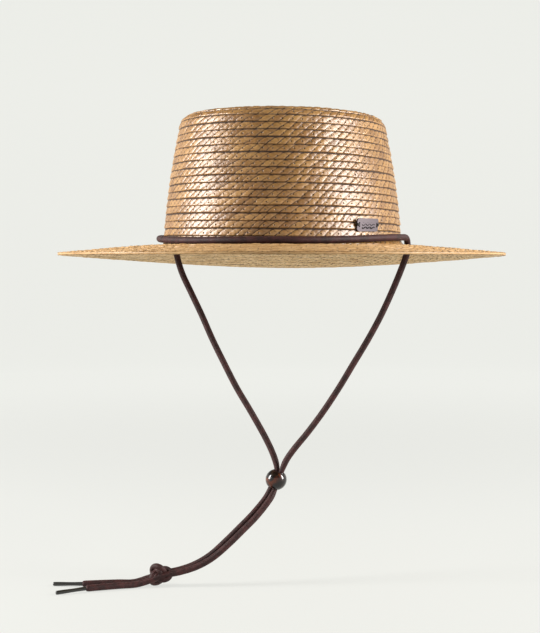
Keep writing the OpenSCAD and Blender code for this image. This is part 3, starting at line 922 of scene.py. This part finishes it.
out_r, lip_at = EYELET_R + EYELET_WALL, (FLANGE_R - LIP_R, LIP_R)
barrel_foot = -STRAW_T - 0.4
eyelet_outline = np.vstack([
    [[out_r, barrel_foot], [out_r, 0], [FLANGE_R - LIP_R, 0]], arc(lip_at, LIP_R, -60, 90, 6),
    arc((EYELET_R + ROLL_R, 0), ROLL_R, 90, 180, 8), [[EYELET_R, barrel_foot]]])
hole_r = out_r + 0.05
washer_outline = np.vstack([[[hole_r, 0.4], [hole_r, 0]], arc(lip_at, LIP_R, -90, 90, 8)])
for side in ("left", "right"):
    low, high = box_mm(f"eyelet_{side}")
    x, y = (low[:2] + high[:2]) / 2
    ring = turned(f"{side}_eyelet_brass", eyelet_outline, [x, y, 0])
    washer = turned(f"{side}_washer_brass", washer_outline, [x, y, -STRAW_T - 0.5])
    for piece, node in ((ring, f"eyelet_{side}"), (washer, f"eyelet_washer_{side}")):
        paint(piece, brass)
        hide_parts(node)
        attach(piece, "hat")
    print(side, "eyelet at", round(x, 1), round(y, 1))

# %% [markdown]
# ## Toggle bead
# The bead is turned from hardwood, stained dark and unevenly, and lacquered, so that amber shows
# where the stain is thin. The lacquer is a clear coat over a duller wood. Its grain runs one way
# through the wood, so the pattern is on Object coordinates and not wrapped round the bead.

# %% Toggle bead
BEAD_R, BORE_R = 8, 4.35
MOUTH_R = 0.45  # rounding of the bore's mouths
wood, shader = new_material("lacquered_hardwood", Roughness=0.3, Specular_IOR_Level=0.2,
                            Coat_Weight=0.65, Coat_Roughness=0.03)
place = add(wood, "TexCoord")["Object"]
patches = {"Vector": place, "Scale": 0.095 * PER_MM, "Detail": 3.0, "Distortion": 0.8}
stain = add(wood, "TexNoise", patches)[0]
lengthways = {"Vector": place, "Rotation": (0.3, 0.5, 0.2), "Scale": (1, 1, 0.16)}
stretched = add(wood, "Mapping", lengthways)[0]
grain = add(wood, "TexNoise", {"Vector": stretched, "Scale": 1.4 * PER_MM, "Detail": 4.0})[0]
thin = add(wood, "MapRange", {0: stain, 1: 0.52, 2: 0.72}, **SMOOTH)[0]
warm = add(wood, "Mix", {0: thin, 6: linear("#0E0605"), 7: linear("#5E280B")}, **COLOURS)[2]
thinnest = add(wood, "MapRange", {0: stain, 1: 0.66, 2: 0.84}, **SMOOTH)[0]
warm = add(wood, "Mix", {0: thinnest, 6: warm, 7: linear("#8A4310")}, **COLOURS)[2]
pores = add(wood, "MapRange", {0: grain, 1: 0.45, 2: 0.7, 4: 0.5}, **SMOOTH)[0]
stained = add(wood, "Mix", {0: pores, 6: warm, 7: linear("#0E0605")}, **COLOURS)[2]
link(wood, stained, shader.inputs["Base Color"])

half_bore = math.sqrt(BEAD_R**2 - (BORE_R + 0.5) ** 2)
mouth = math.degrees(math.asin(half_bore / BEAD_R))
bead_outline = np.vstack([
    arc((0, 0), BEAD_R, -mouth + 2, mouth - 2, 60),
    arc((BORE_R + MOUTH_R, half_bore - MOUTH_R), MOUTH_R, 50, 180, 8),
    arc((BORE_R + MOUTH_R, MOUTH_R - half_bore), MOUTH_R, 180, 310, 8)])
bead = turned("toggle_bead_wood", bead_outline, BEAD_AT, bore_way, around=128)
paint(bead, wood)
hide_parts("toggle_bead")
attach(bead, "toggle")
print("bead", len(bead.data.polygons), "faces")

# %% [markdown]
# ## Tag
# The CAD's curved plate is gunmetal with a fine brushed finish: a noise drawn out along the
# plate. In place of lettering it carries three plain raised waves, tubes laid on the plate's own
# curve, so that they can't sink into it.

# %% The tag's plate
gunmetal, shader = new_material("brushed_gunmetal", Metallic=0.5, Roughness=0.5)
place = add(gunmetal, "TexCoord")["Object"]
drawn = {"Vector": place, "Rotation": (0, 0, math.radians(26.5)), "Scale": (1, 0.06, 1)}
brushed = add(gunmetal, "Mapping", drawn)[0]
lines = add(gunmetal, "TexNoise", {"Vector": brushed, "Scale": 4.2 * PER_MM, "Detail": 3.0})[0]
metal = add(gunmetal, "Mix", {0: lines, 6: linear("#4C4448"), 7: linear("#6A6166")}, **COLOURS)[2]
link(gunmetal, metal, shader.inputs["Base Color"])
rough = add(gunmetal, "MapRange", {0: lines, 1: 0.2, 2: 0.8, 3: 0.45, 4: 0.62}, **SMOOTH)[0]
link(gunmetal, rough, shader.inputs["Roughness"])
bump = add(gunmetal, "Bump", {"Strength": 0.2, "Distance": 0.05 * MM, "Height": lines})[0]
link(gunmetal, bump, shader.inputs["Normal"])
paint(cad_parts["tag_plate"], gunmetal)
print("painted tag_plate")

# %% Places on the tag
TAG_TURN, TAG_Z, TAG_GAP, TAG_T, TAG_BEND_R, TAG_L = 31, 13.6, 0.9, 0.8, 108, 23.5
facing, lean = math.radians(26.5), math.radians(5)
tag_a = math.radians(-TAG_TURN)
tag_r = side_half_w(TAG_Z) + TAG_GAP
tag_at = np.array([tag_r * math.cos(tag_a), reach(tag_r) * math.sin(tag_a), TAG_Z])
tag_round = np.array([math.sin(facing), math.cos(facing), 0])
tag_level_out = np.array([math.cos(facing), -math.sin(facing), 0])
tag_up = math.cos(lean) * upwards - math.sin(lean) * tag_level_out
tag_out = math.cos(lean) * tag_level_out + math.sin(lean) * upwards


def on_tag(x, y, z):
    """A point on the tag's curve: x round the crown, y out of the plate's back, z up the plate. With
    a = x / R it is (R + y) sin a along the plate and (R + y) cos a - R out of it."""
    turn, r = x / TAG_BEND_R, TAG_BEND_R + y
    out = r * np.cos(turn) - TAG_BEND_R
    return tag_at + np.outer(r * np.sin(turn), tag_round) + np.outer(out, tag_out) + np.outer(z, tag_up)


print("tag's middle at", tag_at.round(1))

# %% Waves on the tag
WAVE_R, WAVE_POINTS, WAVE_HALF_L, WAVE_RISE = 0.3, 40, 6.6, 0.6
ink, shader = new_material("blackened_metal", Metallic=0.6, Roughness=0.5)
place = add(ink, "TexCoord")["Object"]
pitted = add(ink, "TexNoise", {"Vector": place, "Scale": 2.5 * PER_MM})[0]
black = add(ink, "Mix", {0: pitted, 6: linear("#241F21"), 7: linear("#3A3437")}, **COLOURS)[2]
link(ink, black, shader.inputs["Base Color"])
for n, z in enumerate((2.1, 0, -2.1)):
    x = np.linspace(-WAVE_HALF_L, WAVE_HALF_L, WAVE_POINTS)
    crest = on_tag(x, np.full(WAVE_POINTS, TAG_T + 0.02), z + WAVE_RISE * np.sin(x * 1.43))
    wave = tube(f"tag_wave_{n + 1}", crest, WAVE_R, sides=8, step=0.3)[0]
    paint(wave, ink)
    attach(wave, "hat")
    print(wave.name, len(wave.data.polygons), "faces")

# %% [markdown]
# ## Threads
# A few turns of black waxed thread through a slot hold each end of the tag. Its two plies twist
# round each other, which a sine on the UVs shows well enough at this size, as a bump and as
# painted shade in the groove between the plies.

# %% Threads of the tag
THREAD_R, THREAD_POINTS = 0.3, 24
thread, shader = new_material("waxed_thread", Roughness=0.45)
uv = add(thread, "UVMap", uv_map="uv")[0]
along, round_it, _ = add(thread, "SeparateXYZ", {0: uv})
turned_by = add(thread, "Math", {0: round_it, 1: 6.0}, operation="MULTIPLY")[0]
phase = add(thread, "Math", {0: along, 1: 9.0, 2: turned_by}, operation="MULTIPLY_ADD")[0]
twist = add(thread, "Math", {0: phase}, operation="SINE")[0]
# painted shade: the thread is darker in the groove between its plies
raised = add(thread, "MapRange", {0: twist, 1: -1, 2: 1}, **SMOOTH)[0]
black = add(thread, "Mix", {0: raised, 6: linear("#0D0B0A"), 7: linear("#2E2926")}, **COLOURS)[2]
link(thread, black, shader.inputs["Base Color"])
bump = add(thread, "Bump", {"Strength": 0.5, "Distance": 0.06 * MM, "Height": twist})[0]
link(thread, bump, shader.inputs["Normal"])

end_x = TAG_L / 2 - 0.8
t = np.linspace(0, 2 * np.pi, THREAD_POINTS, endpoint=False)
for side, sign in (("left", -1), ("right", 1)):
    for n, z in enumerate((-0.65, 0.0, 0.65)):
        loop = on_tag(sign * end_x + 1.35 * np.cos(t), TAG_T / 2 + 1.1 * np.sin(t), z + 0.15 * np.cos(t))
        name = f"tag_thread_{side}_{n + 1}"
        turn_of_thread = tube(name, np.vstack([loop, loop[:1]]), THREAD_R, sides=8, step=0.25, closed=True)[0]
        paint(turn_of_thread, thread)
        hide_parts(f"tag_thread_{side}")
        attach(turn_of_thread, "hat")
    print(side, "end of the tag sewn")

# %% [markdown]
# ## Floor
# A pale paper bowl, seamless from every side. A flat sheet with one curve behind it would look
# right only from the front. The paper glows a little, more so further out, which keeps it as
# pale at its edge as under the lamps.

# %% Floor
FLOOR_Z = -253.1
FLAT_R, BOWL_R, WALL_TOP = 1900, 700, 1250
paper, shader = new_material("pale_paper", Base_Color=linear("#5C5D5B"), Roughness=0.95,
                             Emission_Color=linear("#EBECE7"))
place = add(paper, "TexCoord")["Object"]
away = add(paper, "VectorMath", {0: place}, operation="LENGTH")[1]
glow = add(paper, "MapRange", {0: away, 1: 0.5, 2: 1.7, 3: 0.77, 4: 0.9}, **SMOOTH)[0]
link(paper, glow, shader.inputs["Emission Strength"])


def sweep(around=96):
    """A round floor that curves up into a low wall all the way round: the outline of (radius,
    height), a quarter circle between two straight lines, carried round the upright axis."""
    a = np.radians(np.linspace(-90, 0, 20))
    bend = np.stack([FLAT_R + BOWL_R * np.cos(a), BOWL_R + BOWL_R * np.sin(a)], 1)
    line = np.vstack([[[1, 0]], bend, [[FLAT_R + BOWL_R, WALL_TOP]]])
    turn = np.linspace(0, 2 * np.pi, around, endpoint=False)[:, None]
    height = np.broadcast_to(line[:, 1] + FLOOR_Z, (around, len(line)))
    grid = np.stack([line[None, :, 0] * np.cos(turn), line[None, :, 0] * np.sin(turn), height], -1)
    quads, _, k = ring_faces(around, len(line))
    quads = quads[k.ravel() < len(line) - 1]  # the outline isn't closed
    middle = [m * len(line) for m in range(around)]
    return mesh_object("floor_sweep", grid.reshape(-1, 3), quads.tolist() + [middle])


floor = sweep()
paint(floor, paper)
print("floor", len(floor.data.polygons), "faces")

# %% [markdown]
# ## Light
# One soft lamp on each side rakes across the crown and leaves its middle darker, which shows the
# braid's relief, and a broad weak one fills from above. The world gives a little even light.

# %% Lamps and world
def lamp(name, right, away, up, size, power, colour="#FFFFFF", aim=(0, 0, -40)):
    """A soft square lamp, placed as seen by the camera and turned to the hat."""
    data = bpy.data.lights.new(name, "AREA")
    data.shape = "RECTANGLE"
    data.size, data.size_y = size[0] * MM, size[1] * MM
    data.energy = power
    data.color = linear(colour)[:3]
    obj = bpy.data.objects.new(name, data)
    at = right * to_right + away * into_view + up * upwards
    obj.location = metres(at)
    way = np.array(aim) - at
    obj.rotation_euler = (math.acos(-way[2] / np.linalg.norm(way)), 0, math.atan2(-way[0], way[1]))
    bpy.context.collection.objects.link(obj)


lamp("left_lamp", -1200, -130, 330, (320, 800), 30, "#FFFCFA")
lamp("right_lamp", 1200, -200, 330, (320, 800), 30, "#FFFCFA")
lamp("top_lamp", 0, 300, 1500, (1500, 1500), 2)
world = bpy.data.worlds.new("air")
world.use_nodes = True
air = world.node_tree.nodes["Background"]
air.inputs["Color"].default_value = linear("#F4F5F2")
air.inputs["Strength"].default_value = 0.12
bpy.context.scene.world = world
bpy.context.scene.view_settings.view_transform = "Standard"
print("lamps:", [light.name for light in bpy.data.lights])
